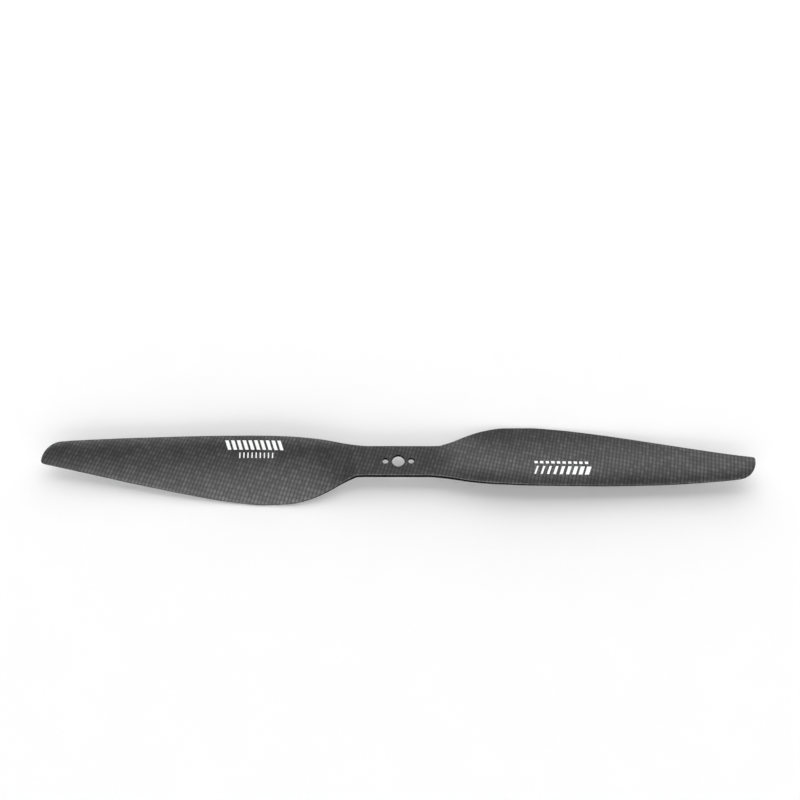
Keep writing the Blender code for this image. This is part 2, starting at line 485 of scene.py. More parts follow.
def loft_slab(
    name: str,
    grid: LoftGrid,
    end: float,
    heights: tuple[HeightRule, HeightRule],
    inset: float = 0.0,
) -> Piece:
    """A closed loft from end to end of the propeller, between two heights.

    Args:
        name: The piece's name.
        grid: The rows and columns.
        end: How far it reaches from the bore, in millimetres.
        heights: The two faces' heights over the middle line.
        inset: How far the loft's sides stay inside the outline.

    Returns:
        The new object, in metres.
    """
    rows = grid.tip_to_tip(end)
    columns = [grid.alongs(section.chord - 2 * inset) for _, section in rows]

    def place(row: int, column: int, layer: int) -> Vector:
        """Puts a vertex of the loft at its row's section."""
        blade, section = rows[row]
        line = columns[row]
        if blade is Blade.LEFT:
            column = len(line) - 1 - column
        along = line[column] + inset
        return on_blade(blade, section.point(along, heights[layer](section, along)))

    bm = bmesh.new()
    add_plate(bm, (len(rows) - 1, len(columns[0]) - 1), place)
    return link_mesh(name, bm)


@dataclass(frozen=True)
class HolePattern:
    """The bore and the two screw holes, in millimetres, drilled right through the hub."""

    bore: float = 6.0
    screw: float = 3.0
    spacing: float = 12.0
    chamfer: float = 0.12
    hub_thickness: float = 3.0
    reach: float = 4.0
    turns: int = 96

    def drill_bit(self, diameter: float, x: float) -> Piece:
        """A turned cutter that opens into a small chamfer at both faces of the hub.

        Args:
            diameter: The hole's diameter.
            x: Where the hole stands along the hub.

        Returns:
            The cutter's object.
        """
        radius = diameter / 2
        face = self.hub_thickness / 2
        flare = radius + self.chamfer + self.reach
        profile = (
            (0.0, -face - self.reach),
            (flare, -face - self.reach),
            (radius, -face + self.chamfer),
            (radius, face - self.chamfer),
            (flare, face + self.reach),
            (0.0, face + self.reach),
        )
        bm = bmesh.new()
        places = [on_blade(Blade.RIGHT, Vector((x + r, 0.0, z))) for r, z in profile]
        verts = [bm.verts.new(place) for place in places]
        edges = [bm.edges.new(pair) for pair in zip(verts, verts[1:])]
        bmesh.ops.spin(
            bm,
            geom=verts + edges,
            cent=Vector((x, 0.0, 0.0)) * MM,
            axis=(0.0, 0.0, 1.0),
            angle=2 * math.pi,
            steps=self.turns,
            use_merge=True,
        )
        bmesh.ops.remove_doubles(bm, verts=bm.verts, dist=1e-7)
        return link_mesh("drill_bit", bm)

    def cut(self, piece: Piece) -> None:
        """Drills the three holes through a piece, and keeps the result as its mesh.

        Args:
            piece: A closed piece that lies across the hub.
        """
        half = self.spacing / 2
        places = ((self.bore, 0.0), (self.screw, half), (self.screw, -half))
        bits = [self.drill_bit(diameter, x) for diameter, x in places]
        for bit in bits:
            cut = piece.modifiers.new("drill", "BOOLEAN")
            cut.operation = "DIFFERENCE"
            cut.object = bit
        graph = bpy.context.evaluated_depsgraph_get()
        drilled = bpy.data.meshes.new_from_object(piece.evaluated_get(graph))
        drilled.set_sharp_from_angle(angle=SHARP_ANGLE)
        blank = piece.data
        piece.modifiers.clear()
        piece.data = drilled
        bpy.data.meshes.remove(blank)
        for bit in bits:
            bpy.data.meshes.remove(bit.data)


def mark_edges(piece: Piece, form: BladeForm, band: float) -> None:
    """Stores how far each point lies from the outline, for the finishes to read.

    Args:
        piece: A piece that follows the blade's outline.
        form: The blade's form.
        band: The distance, in millimetres, at which the value reaches 1.
    """
    mesh = piece.data
    inside = mesh.attributes.new("inside_edge", "FLOAT", "POINT")
    known: dict[float, Section] = {}
    values = []
    for vert in mesh.vertices:
        x, y = vert.co.x / MM, vert.co.y / MM
        radius = round(min(abs(x), form.tip), 4)
        if radius not in known:
            known[radius] = form.section(radius)
        section = known[radius]
        across = y if x >= 0 else -y
        width = section.chord * math.cos(section.angle)
        from_lead = across + section.lead
        distance = min(from_lead, width - from_lead, form.tip - radius)
        values.append(share_between(distance, 0.0, band))
    inside.data.foreach_set("value", values)


# --- Node work ---

Source = Socket | float | tuple
Colour = tuple[float, float, float, float]


class Wiring:
    """Adds nodes to a tree and links them as it goes."""

    def __init__(self, tree: Tree) -> None:
        """Starts on an emptied tree."""
        self.tree = tree
        tree.nodes.clear()

    def feed(self, socket: Socket, source: Source) -> None:
        """Links a socket to source, or sets it to that constant.

        Args:
            socket: The input socket.
            source: An output socket, a constant, or None to leave the input as it is.
        """
        if isinstance(source, Socket):
            self.tree.links.new(source, socket)
        elif source is not None:
            socket.default_value = source

    def node(self, kind: str, inputs: dict | None = None, **settings: object) -> bpy.types.Node:
        """Adds a node.

        Args:
            kind: The node's type.
            inputs: What goes into its sockets, by name or number.
            **settings: Its own properties.

        Returns:
            The node.
        """
        node = self.tree.nodes.new(kind)
        for name, value in settings.items():
            setattr(node, name, value)
        for name, source in (inputs or {}).items():
            self.feed(node.inputs[name], source)
        return node

    def math(self, operation: str, *sources: Source) -> Socket:
        """The result of one Math node."""
        inputs = dict(enumerate(sources))
        return self.node("ShaderNodeMath", inputs, operation=operation).outputs[0]

    def line(self, value: Source, slope: Source, start: Source) -> Socket:
        """The value times slope, plus start."""
        return self.math("MULTIPLY_ADD", value, slope, start)

    def blend(self, share: Source, low: Source, high: Source) -> Socket:
        """A number between low and high."""
        inputs = {0: share, 2: low, 3: high}
        return self.node("ShaderNodeMix", inputs, data_type="FLOAT").outputs[0]

    def tint(self, share: Source, low: Source, high: Source) -> Socket:
        """A colour between low and high."""
        inputs = {0: share, 6: low, 7: high}
        return self.node("ShaderNodeMix", inputs, data_type="RGBA").outputs[2]

    def noise(self, at: Source, scale: float, detail: float = 2.0) -> Socket:
        """A noise value from 0 to 1."""
        inputs = {"Vector": at, "Scale": scale, "Detail": detail}
        return self.node("ShaderNodeTexNoise", inputs).outputs["Fac"]

    def cells(self, at: Source, scale: float) -> Socket:
        """The distance to the middle of the nearest of many small, irregular cells."""
        inputs = {"Vector": at, "Scale": scale}
        return self.node("ShaderNodeTexVoronoi", inputs).outputs["Distance"]

    def scaled(self, vector: Source, scale: Source) -> Socket:
        """A vector or colour times a number."""
        inputs = {0: vector, "Scale": scale}
        return self.node("ShaderNodeVectorMath", inputs, operation="SCALE").outputs[0]

    def parts(self, vector: Source) -> Outputs:
        """The X, Y and Z of a vector."""
        return self.node("ShaderNodeSeparateXYZ", {0: vector}).outputs

    def fade(self, value: Source, full: float, none: float) -> Socket:
        """A mask that falls from 1 to 0 while value goes from full to none."""
        inputs = {0: value, 1: full, 2: none, 3: 1.0, 4: 0.0}
        return self.node("ShaderNodeMapRange", inputs).outputs[0]

    def object_coordinates(self) -> Socket:
        """The piece's own coordinates, in metres."""
        return self.node("ShaderNodeTexCoord").outputs["Object"]

    def group(self, tree: Tree, inputs: dict) -> Outputs:
        """Places a node group.

        Args:
            tree: The group.
            inputs: What goes into its sockets, by name.

        Returns:
            The group's outputs.
        """
        return self.node("ShaderNodeGroup", inputs, node_tree=tree).outputs

    def shader(self, inputs: dict, relief: Source = None, depth: float = 0.0) -> None:
        """Ends the tree in a Principled BSDF.

        Args:
            inputs: What goes into the shader's sockets.
            relief: The height that bumps the surface, if any.
            depth: How deep the relief is, in metres.
        """
        shader = self.node("ShaderNodeBsdfPrincipled", inputs)
        if relief is not None:
            bump = self.node("ShaderNodeBump", {"Height": relief, "Distance": depth})
            self.feed(shader.inputs["Normal"], bump.outputs[0])
        self.node("ShaderNodeOutputMaterial", {0: shader.outputs[0]})


def new_group(name: str, inputs: Sequence[str], outputs: Sequence[str]) -> Tree:
    """A shader node group with one vector input, named numbers in, and named numbers out.

    Args:
        name: The group's name.
        inputs: Names of the number inputs that follow the input named Point.
        outputs: Names of the number outputs.

    Returns:
        The empty group.
    """
    tree = bpy.data.node_groups.new(name, "ShaderNodeTree")
    face = tree.interface
    face.new_socket(name="Point", in_out="INPUT", socket_type="NodeSocketVector")
    for item in inputs:
        face.new_socket(name=item, in_out="INPUT", socket_type="NodeSocketFloat")
    for item in outputs:
        face.new_socket(name=item, in_out="OUTPUT", socket_type="NodeSocketFloat")
    return tree


@dataclass(frozen=True)
class PlainWeave:
    """Two sets of flat tows that pass over and under each other, one by one.

    The cross tows lean, and a little less towards the right blade's tip. Lengths in metres.
    """

    name: str = "plain weave"
    cross_spacing: float = 1.71 * MM
    long_spacing: float = 2.13 * MM
    cross_lean: float = 0.325
    cross_fan: float = 0.855
    long_lean: float = 0.234
    wander: float = 0.16
    wander_scale: float = 90.0
    long_crown: float = 0.55
    fibre_stretch: float = 9.0
    fibre_scale: float = 1.3

    def build(self) -> Tree:
        """Builds the group.

        Returns:
            A group that gives which tow is on top, the tows' crowns, the fibre lines and each
            cell's own shade.
        """
        tree = new_group(self.name, (), ("Cross Tow", "Crowns", "Fibres", "Cell Shade"))
        w = Wiring(tree)
        point = w.node("NodeGroupInput").outputs["Point"]
        sway = w.noise(point, self.wander_scale, 1.0)
        sway = w.math("MULTIPLY", w.math("SUBTRACT", sway, 0.5), self.wander)
        x, y, _ = w.parts(point)
        lean = w.line(x, self.cross_fan, -self.cross_lean)
        across = w.line(y, lean, x)
        across = w.line(across, 1 / self.cross_spacing, sway)
        along = w.line(x, self.long_lean, y)
        along = w.line(along, 1 / self.long_spacing, sway)
        cell_a, cell_b = w.math("FLOOR", across), w.math("FLOOR", along)
        cross_tow = w.math("PINGPONG", w.math("ADD", cell_a, cell_b), 1.0)
        crown_a = self.crown(w, w.math("FRACT", across))
        crown_b = self.crown(w, w.math("FRACT", along))
        softened = w.line(crown_b, self.long_crown, 1 - self.long_crown)
        crowns = w.math("MULTIPLY", crown_a, softened)
        lines_a = self.fibres(w, (across, along), (self.fibre_stretch, 1.0))
        lines_b = self.fibres(w, (across, along), (1.0, self.fibre_stretch))
        cell = w.node("ShaderNodeCombineXYZ", {0: cell_a, 1: cell_b})
        shade = w.node("ShaderNodeTexWhiteNoise", {0: cell.outputs[0]}, noise_dimensions="2D")
        ends = {
            "Cross Tow": cross_tow,
            "Crowns": crowns,
            "Fibres": w.blend(cross_tow, lines_b, lines_a),
            "Cell Shade": shade.outputs["Value"],
        }
        w.node("NodeGroupOutput", ends)
        return tree

    @staticmethod
    def crown(w: Wiring, share: Source) -> Socket:
        """A tow's rounded top, from 0 at its sides to 1 in its middle."""
        off_centre = w.math("ABSOLUTE", w.line(share, 2.0, -1.0))
        return w.math("SUBTRACT", 1.0, w.math("POWER", off_centre, 2.0))

    def fibres(
        self, w: Wiring, place: tuple[Source, Source], fineness: tuple[float, float]
    ) -> Socket:
        """Fine lines, closer together across a tow than along it.

        Args:
            w: The group's wiring.
            place: The place across and along the cloth, in tows.
            fineness: How many times finer the lines are in each of those directions.

        Returns:
            The lines' brightness, from 0 to 1.
        """
        spread = [w.math("MULTIPLY", *pair) for pair in zip(place, fineness)]
        at = w.node("ShaderNodeCombineXYZ", dict(enumerate(spread)))
        return w.noise(at.outputs[0], self.fibre_scale, 1.0)


@dataclass(frozen=True)
class FibreStreaks:
    """Straight fibre lines along X, for laminates and tapes."""

    name: str = "fibre streaks"
    stretch: float = 0.04
    band_scale: float = 0.17

    def build(self) -> Tree:
        """Builds the group.

        Returns:
            A group that gives fine streaks and broad bands.
        """
        tree = new_group(self.name, ("Fineness",), ("Streaks", "Bands"))
        w = Wiring(tree)
        point, fineness, _ = w.node("NodeGroupInput").outputs
        inputs = {0: point, 1: (self.stretch, 1.0, 1.0)}
        drawn = w.node("ShaderNodeVectorMath", inputs, operation="MULTIPLY")
        spread = w.scaled(drawn.outputs[0], fineness)
        bands = w.noise(spread, self.band_scale, 1.0)
        w.node("NodeGroupOutput", {"Streaks": w.noise(spread, 1.0, 3.0), "Bands": bands})
        return tree


@dataclass(frozen=True)
class HandlingMarks:
    """The faint clouding, pinholes and rubbed spots of a used, moulded surface."""

    name: str = "handling marks"
    cloud_scale: float = 22.0
    pinhole_scale: float = 420.0
    pinhole_size: float = 0.07
    pinhole_share: float = 0.015
    rub_scale: float = 95.0

    def build(self) -> Tree:
        """Builds the group.

        Returns:
            A group that gives clouding, pinholes and rubbed spots.
        """
        tree = new_group(self.name, ("Amount",), ("Clouds", "Pinholes", "Rubbing"))
        w = Wiring(tree)
        point, amount, _ = w.node("NodeGroupInput").outputs
        cells = w.node("ShaderNodeTexVoronoi", {"Vector": point, "Scale": self.pinhole_scale})
        near = w.math("LESS_THAN", cells.outputs["Distance"], self.pinhole_size)
        chance = w.node("ShaderNodeTexWhiteNoise", {0: cells.outputs["Position"]})
        rare = w.math("GREATER_THAN", chance.outputs["Value"], 1 - self.pinhole_share)
        marks = {
            "Clouds": w.noise(point, self.cloud_scale, 3.0),
            "Pinholes": w.math("MULTIPLY", near, rare),
            "Rubbing": w.math("POWER", w.noise(point, self.rub_scale, 4.0), 3.0),
        }
        ends = {name: w.math("MULTIPLY", mark, amount) for name, mark in marks.items()}
        w.node("NodeGroupOutput", ends)
        return tree


@dataclass(frozen=True)
class TrimmedEdgeAndShade:
    """Where a moulding's wall was trimmed and drilled bare, with every steep face blackened by
    its slope as painted shade, and the rubbed band beside it.
    """

    name: str = "trimmed edge and painted shade"
    ragged_scale: float = 900.0
    ragged_slope: float = 0.1
    ragged_depth: float = 0.2
    # The face slopes over which the black fades in: bare wall on trimmed and drilled faces,
    # painted shade on the rounded noses and other steep faces.
    bare_and_shade_slopes: tuple[float, float] = (0.42, 0.62)
    worn_depths: tuple[float, float] = (0.2, 0.75)

    def build(self) -> Tree:
        """Builds the group.

        Returns:
            A group that gives the black of the bare wall, which also paints shade on every other
            steep face, and the worn band inside the outline.
        """
        tree = new_group(self.name, ("Inside",), ("Bare And Painted Shade", "Worn"))
        w = Wiring(tree)
        point, inside, _ = w.node("NodeGroupInput").outputs
        ragged = w.noise(point, self.ragged_scale, 3.0)
        # Painted shade: the black follows the face's slope, so the lower half of each rounded
        # nose, which faces the shaded floor, turns black as well.
        facing = w.node("ShaderNodeNewGeometry").outputs["Normal"]
        level = w.math("ABSOLUTE", w.parts(facing)[2])
        slope = w.line(ragged, self.ragged_slope, level)
        depth = w.line(ragged, self.ragged_depth, inside)
        bare_and_painted_shade, worn = w.fade(slope, *self.bare_and_shade_slopes), w.fade(depth, *self.worn_depths)
        w.node("NodeGroupOutput", {"Bare And Painted Shade": bare_and_painted_shade, "Worn": worn})
        return tree


@dataclass
class Effects:
    """The shared effects, each built once."""

    weave: Tree = field(default_factory=lambda: PlainWeave().build())
    streaks: Tree = field(default_factory=lambda: FibreStreaks().build())
    handling: Tree = field(default_factory=lambda: HandlingMarks().build())
    edge: Tree = field(default_factory=lambda: TrimmedEdgeAndShade().build())


def new_material(name: str) -> tuple[Look, Wiring]:
    """Makes a material with an empty node tree.

    Args:
        name: The material's name.

    Returns:
        The material, and the wiring to fill it.
    """
    made = bpy.data.materials.new(name)
    made.use_nodes = True
    return made, Wiring(made.node_tree)


def start_finish(
    name: str, effects: Effects, wear: float = 1.0
) -> tuple[Look, Wiring, Socket, Outputs]:
    """Makes the material that a finish wires, with what every finish reads.

    Args:
        name: The material's name.
        effects: The shared effects.
        wear: How strong the handling marks are.

    Returns:
        The material, its wiring, the piece's own coordinates and the handling marks.
    """
    made, w = new_material(name)
    point = w.object_coordinates()
    return made, w, point, w.group(effects.handling, {"Point": point, "Amount": wear})


def grey(level: float) -> Colour:
    """A plain grey."""
    return (level, level, level, 1.0)


# --- Finishes ---


@dataclass(frozen=True)
class WovenCarbon:
    """Black plain-woven carbon under a thin satin film of resin, near black on its steep faces:
    bare carbon on the trimmed walls, painted shade elsewhere.
    """

    name: str = "woven carbon"
    gap: float = 0.002
    crown: float = 0.12
    glint: float = 0.9
    # Near black where the faces are steep: bare carbon on trimmed walls, painted shade on the
    # noses.
    bare_and_shade_black: float = 0.004
    least_shade: float = 0.6
    cell_swing: float = 0.3
    fibre_swing: float = 0.6
    cloud_swing: float = 0.5
    worn_shade: float = 0.15
    roughness: float = 0.3
    cross_gloss: float = 0.03
    rubbed: float = 0.25
    bare_roughness: float = 0.85
    fibre_relief: float = 0.2
    relief: float = 0.02 * MM

    @staticmethod
    def vary(w: Wiring, shade: Source, effect: Source, swing: float) -> Socket:
        """Lets an effect from 0 to 1 swing a shade up and down by half of swing."""
        return w.math("MULTIPLY", shade, w.line(effect, swing, 1 - swing / 2))

    def build(self, effects: Effects) -> Look:
        """Builds the material.

        Args:
            effects: The shared effects.

        Returns:
            The material.
        """
        made, w, point, marks = start_finish(self.name, effects)
        weave = w.group(effects.weave, {"Point": point})
        inside = w.node("ShaderNodeAttribute", attribute_name="inside_edge").outputs["Fac"]
        edge = w.group(effects.edge, {"Point": point, "Inside": inside})
        cloth = w.tint(weave["Crowns"], grey(self.gap), grey(self.crown))
        shade = w.line(weave["Cell Shade"], self.cell_swing, self.least_shade)
        shade = self.vary(w, shade, weave["Fibres"], self.fibre_swing)
        shade = self.vary(w, shade, marks["Clouds"], self.cloud_swing)
        shade = w.line(edge["Worn"], self.worn_shade, shade)
        # Painted shade: steep faces take the near-black colour and full metal, which leaves them
        # dark and unreflecting; only on trimmed walls is this the bare carbon's own.
        colour = w.tint(edge["Bare And Painted Shade"], w.scaled(cloth, shade), grey(self.bare_and_shade_black))
        metal = w.math("MULTIPLY", weave["Crowns"], self.glint)
        metal = w.blend(edge["Bare And Painted Shade"], metal, 1.0)
        rough = w.line(weave["Cross Tow"], -self.cross_gloss, self.roughness)
        rough = w.line(marks["Rubbing"], self.rubbed, rough)
        rough = w.blend(edge["Bare And Painted Shade"], rough, self.bare_roughness)
        relief = w.line(weave["Fibres"], self.fibre_relief, weave["Crowns"])
        relief = w.math("SUBTRACT", relief, marks["Pinholes"])
        inputs = {"Base Color": colour, "Metallic": metal, "Roughness": rough, "IOR": 1.5}
        w.shader(inputs, relief, self.relief)
        return made


@dataclass(frozen=True)
class PlyStack:
    """Carbon laminate seen on its drilled walls, ply by ply, kept near black and weakly glossy:
    partly its own colour, partly painted shade in the holes.
    """

    name: str = "solid laminate"
    wear: float = 0.8
    ply: float = 0.2 * MM
    waviness: float = 0.05 * MM
    wave_scale: float = 300.0
    gap_steepness: float = 3.0
    gap_rounding: float = 0.3
    fineness: float = 5000.0
    # Both ply tones are set below the laminate's own, as painted shade on the hole walls.
    dark: float = 0.001
    light: float = 0.004
    roughness: float = 0.85
    rubbed: float = 0.1
    # The weak sheen keeps the hole walls from mirroring the floor, as painted shade.
    sheen: float = 0.1
    relief: float = 0.01 * MM

    def build(self, effects: Effects) -> Look:
        """Builds the material.

        Args:
            effects: The shared effects.

        Returns:
            The material.
        """
        made, w, point, marks = start_finish(self.name, effects, self.wear)
        wave = w.noise(point, self.wave_scale)
        height = w.line(wave, self.waviness, w.parts(point)[2])
        layer = w.math("PINGPONG", w.math("DIVIDE", height, self.ply), 0.5)
        steep = w.math("MULTIPLY", layer, self.gap_steepness)
        ply = w.math("SMOOTH_MIN", steep, 1.0, self.gap_rounding)
        streaks = w.group(effects.streaks, {"Point": point, "Fineness": self.fineness})[0]
        share = w.math("MULTIPLY", ply, streaks)
        colour = w.tint(share, grey(self.dark), grey(self.light))
        rough = w.line(marks["Rubbing"], self.rubbed, self.roughness)
        inputs = {"Base Color": colour, "Roughness": rough, "Specular IOR Level": self.sheen}
        w.shader(inputs, w.math("ADD", ply, streaks), self.relief)
        return made


@dataclass(frozen=True)
class DirectedFibre:
    """Black fibres that all run along the blade, wetted with resin."""

    name: str
    fineness: float
    dark: float = 0.008
    light: float = 0.045
    contrast: float = 2.2
    roughness: float = 0.38
    streak_gloss: float = 0.2
    rubbed: float = 0.3
    relief: float = 0.02 * MM

    def build(self, effects: Effects) -> Look:
        """Builds the material.

        Args:
            effects: The shared effects.

        Returns:
            The material.
        """
        made, w, point, marks = start_finish(self.name, effects)
        inputs = {"Point": point, "Fineness": self.fineness}
        streaks, bands = w.group(effects.streaks, inputs)
        share = w.math("MULTIPLY", w.math("MULTIPLY", streaks, bands), self.contrast)
        colour = w.tint(share, grey(self.dark), grey(self.light))
        dullest = self.roughness + self.streak_gloss / 2
        rough = w.line(streaks, -self.streak_gloss, dullest)
        rough = w.line(marks["Rubbing"], self.rubbed, rough)
        w.shader({"Base Color": colour, "Roughness": rough}, streaks, self.relief)
        return made


@dataclass(frozen=True)
class RigidFoam:
    """Pale closed-cell foam."""

    name: str = "rigid foam"
    cell_scale: float = 2600.0
    cell_contrast: float = 1.4
    pale: Colour = (0.78, 0.75, 0.66, 1.0)
    deep: Colour = (0.55, 0.52, 0.43, 1.0)
    least_pale: float = 0.4
    roughness: float = 0.85
    rubbed: float = 0.1
    relief: float = 0.1 * MM

    def build(self, effects: Effects) -> Look:
        """Builds the material.

        Args:
            effects: The shared effects.

        Returns:
            The material.
        """
        made, w, point, marks = start_finish(self.name, effects)
        wall = w.math("MULTIPLY", w.cells(point, self.cell_scale), self.cell_contrast)
        share = w.math("MULTIPLY", wall, w.math("ADD", marks["Clouds"], self.least_pale))
        colour = w.tint(share, self.deep, self.pale)
        rough = w.line(marks["Clouds"], self.rubbed, self.roughness)
        w.shader({"Base Color": colour, "Roughness": rough}, wall, self.relief)
        return made


@dataclass(frozen=True)
class BondResin:
    """Dark filled resin, with a few bubbles."""

    name: str = "filled resin"
    thin: Colour = (0.07, 0.06, 0.045, 1.0)
    thick: Colour = (0.02, 0.018, 0.015, 1.0)
    bubble_scale: float = 1500.0
    bubble_size: float = 0.2
    roughness: float = 0.25
    rubbed: float = 0.4
    relief: float = 0.02 * MM

    def build(self, effects: Effects) -> Look:
        """Builds the material.

        Args:
            effects: The shared effects.

        Returns:
            The material.
        """
        made, w, point, marks = start_finish(self.name, effects)
        bubbles = w.cells(point, self.bubble_scale)
        dents = w.math("LESS_THAN", bubbles, self.bubble_size)
        colour = w.tint(marks["Clouds"], self.thick, self.thin)
        rough = w.line(marks["Rubbing"], self.rubbed, self.roughness)
        w.shader({"Base Color": colour, "Roughness": rough}, dents, -self.relief)
        return made


@dataclass(frozen=True)
class ScreenInk:
    """White screen-printed ink, a little thin in places."""

    name: str = "white print"
    full: Colour = (0.86, 0.86, 0.86, 1.0)
    thin: Colour = (0.55, 0.55, 0.56, 1.0)
    grain_scale: float = 5200.0
    least_cover: float = 0.62
    weave_cover: float = 0.3
    grain_cover: float = 0.25
    grain_relief: float = 0.3
    roughness: float = 0.45
    rubbed: float = 0.4
    relief: float = 0.015 * MM

    def build(self, effects: Effects) -> Look:
        """Builds the material.

        Args:
            effects: The shared effects.

        Returns:
            The material.
        """
        made, w, point, marks = start_finish(self.name, effects)
        crowns = w.group(effects.weave, {"Point": point})["Crowns"]
        grain = w.noise(point, self.grain_scale)
        cover = w.line(crowns, self.weave_cover, self.least_cover)
        cover = w.line(grain, self.grain_cover, cover)
        colour = w.tint(cover, self.thin, self.full)
        rough = w.line(marks["Rubbing"], self.rubbed, self.roughness)
        relief = w.line(grain, self.grain_relief, crowns)
        w.shader({"Base Color": colour, "Roughness": rough}, relief, self.relief)
        return made


# --- Sub-assemblies ---


def settle(piece: Piece, slot: str, look: Look, nodes: Sequence[str] = ()) -> None:
    """Dresses a new piece and hides the frame's nodes that it stands for.

    Args:
        piece: The finished piece.
        slot: The name of its material slot, which is only logged.
        look: Its material.
        nodes: The frame's nodes that it stands for.
    """
    piece.data.materials.clear()
    piece.data.materials.append(look)
    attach(piece, BODY)
    if nodes:
        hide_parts(*nodes)
    log.info("%s: %d faces, slot %s", piece.name, len(piece.data.polygons), slot)


@dataclass
class MouldedSkins:
    """The two woven shells that meet along the parting line."""

    form: BladeForm
    layup: Layup
    grid: LoftGrid
    holes: HolePattern
    effects: Effects
    worn_band: float = 3.0

    def inside(self, section: Section, along: float) -> float:
        """The height of a skin's inner face over the middle line.

        Args:
            section: The blade's section.
            along: Distance from the leading edge.

        Returns:
            The height, which drops to the parting line at the edges and in the solid tip.
        """
        parting = self.layup.seam / 2
        if section.radius >= self.layup.solid_tip_from:
            return parting
        from_edge = min(along, section.chord - along)
        hollow = max(parting, section.half_thickness(along) - self.layup.skin)
        share = share_between(from_edge, self.layup.side_wall, self.layup.inner_from)
        return parting + share * (hollow - parting)

    def build(self, face: Face) -> Piece:
        """Builds one skin.

        Args:
            face: The face that it covers.

        Returns:
            The drilled shell, which stands for the frame's own.
        """
        side = face.value
        name = face.name.lower()
        heights = (
            lambda section, along: side * section.half_thickness(along),
            lambda section, along: side * self.inside(section, along),
        )
        skin = loft_slab(f"{name}_woven_skin", self.grid, self.form.tip, heights)
        self.holes.cut(skin)
        mark_edges(skin, self.form, self.worn_band)
        return skin

    def dress(self) -> None:
        """Builds and finishes both skins."""
        look = WovenCarbon().build(self.effects)
        for face in Face:
            node = f"{face.name.lower()}_skin"
            settle(self.build(face), "woven_carbon", look, [node])


@dataclass
class HubLaminate:
    """The solid stack of plies between the spar caps, which the screws clamp."""

    form: BladeForm
    layup: Layup
    grid: LoftGrid
    holes: HolePattern
    effects: Effects

    def height(self, section: Section, along: float) -> float:
        """Half of the block's height, under the skins and the spar caps."""
        under_skin = section.half_thickness(along) - self.layup.skin - self.layup.glue_line
        return under_skin - self.layup.cap - self.layup.glue_line

    def dress(self) -> None:
        """Builds and finishes the block."""
        heights = (self.height, lambda section, along: -self.height(section, along))
        end = self.form.hub_length / 2
        block = loft_slab("hub_laminate", self.grid, end, heights, self.layup.inner_from)
        self.holes.cut(block)
        settle(block, "solid_laminate", PlyStack().build(self.effects), ["hub_block"])


@dataclass(frozen=True)
class InkBar:
    """One printed bar on a blade, in millimetres from the bore and from the leading edge."""

    start: float
    end: float
    near_lead: float
    far_lead: float
    slant: float = 0.0


@dataclass
class PrintedMarks:
    """Plain bars and ticks printed in white on the upper skin."""

    form: BladeForm
    effects: Effects
    film: float = 0.02
    stand_off: float = 0.012
    step: float = 0.8
    slant: float = 1.6

    def bar_row(
        self, starts: Sequence[float], width: float, band: tuple[float, float], slant: float
    ) -> list[InkBar]:
        """Bars of one width in a row.

        Args:
            starts: Where each bar starts, from the bore.
            width: Each bar's width.
            band: The row's two sides, from the leading edge.
            slant: How far each bar leans along the blade.

        Returns:
            The bars.
        """
        return [InkBar(start, start + width, *band, slant) for start in starts]

    def left_block(self) -> list[InkBar]:
        """An even run of slanted bars."""
        return self.bar_row([54.0 + 2.7 * k for k in range(10)], 1.6, (2.4, 7.0), self.slant)

    def left_ticks(self) -> list[InkBar]:
        """A ruler of short ticks."""
        return self.bar_row([58.0 + 1.9 * k for k in range(9)], 0.55, (8.3, 10.9), 0.0)

    def right_block(self) -> list[InkBar]:
        """A run of slanted bars that narrow towards the hub."""
        bars = [(86.4 - 2.9 * k, 2.0 - 0.15 * k) for k in range(9)]
        return [InkBar(start, start + width, 5.0, 9.2, -self.slant) for start, width in bars]

    def right_ticks(self) -> list[InkBar]:
        """A row of short dashes."""
        return self.bar_row([63.0 + 2.6 * k for k in range(10)], 1.5, (10.6, 11.9), 0.0)

    def print_bar(self, bm: Shape, blade: Blade, bar: InkBar) -> None:
        """Adds one bar as a thin plate that follows the skin.

        Args:
            bm: The mesh that takes it.
            blade: The blade that it is printed on.
            bar: Its place and size.
        """
        length = max(1, round((bar.end - bar.start) / self.step))
        depth = max(1, round((bar.far_lead - bar.near_lead) / self.step))

        def place(row: int, column: int, layer: int) -> Vector:
            """Puts a vertex of the bar just over the skin."""
            share = column / depth
            along = bar.near_lead + (bar.far_lead - bar.near_lead) * share
            radius = bar.start + (bar.end - bar.start) * row / length + bar.slant * (0.5 - share)
            section = self.form.section(radius)
            height = section.half_thickness(along) + self.stand_off + self.film * (1 - layer)
            return on_blade(blade, section.point(along, height))

        add_plate(bm, (length, depth), place)

    def dress(self) -> None:
        """Builds and finishes the marks on both blades."""
        look = ScreenInk().build(self.effects)
        marks = (
            ("left_blade_bars", Blade.LEFT, self.left_block()),
            ("left_blade_ticks", Blade.LEFT, self.left_ticks()),
            ("right_blade_bars", Blade.RIGHT, self.right_block()),
            ("right_blade_dashes", Blade.RIGHT, self.right_ticks()),
        )
        for name, blade, bars in marks:
            bm = bmesh.new()
            for bar in bars:
                self.print_bar(bm, blade, bar)
            settle(link_mesh(name, bm), "white_print", look)


